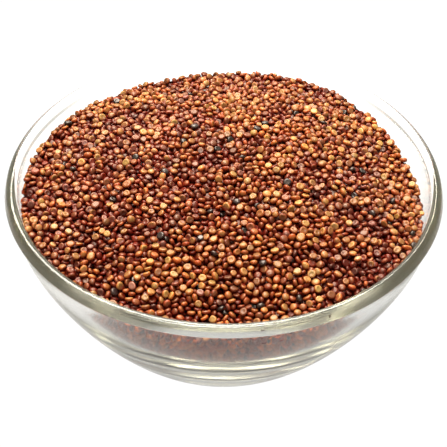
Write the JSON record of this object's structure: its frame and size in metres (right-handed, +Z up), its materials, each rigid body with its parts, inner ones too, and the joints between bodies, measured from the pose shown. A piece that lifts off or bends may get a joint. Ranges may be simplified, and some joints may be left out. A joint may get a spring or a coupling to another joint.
{
  "type": "bowl of quinoa",
  "caption": "Round clear glass bowl with a thick base and a banded rim, heaped with dry red quinoa seed in a low uneven dome.",
  "frame": {"origin": "on the bowl's axis, on the surface that its foot stands on", "axes": "+Z up along the bowl's axis; +X to the low side of the heap's edge; -Y to the side the picture was taken from"},
  "size_m": [0.12, 0.12, 0.057],
  "materials": {
    "glass": "clear pressed glass, polished, faintly green grey in its thick parts",
    "quinoa": "satin seed coats, mostly red brown and amber, with a few dark and pale seeds"
  },
  "bodies": {
    "root": {"bowl": "glass", "quinoa_heap": "quinoa"}
  },
  "joints": []
}
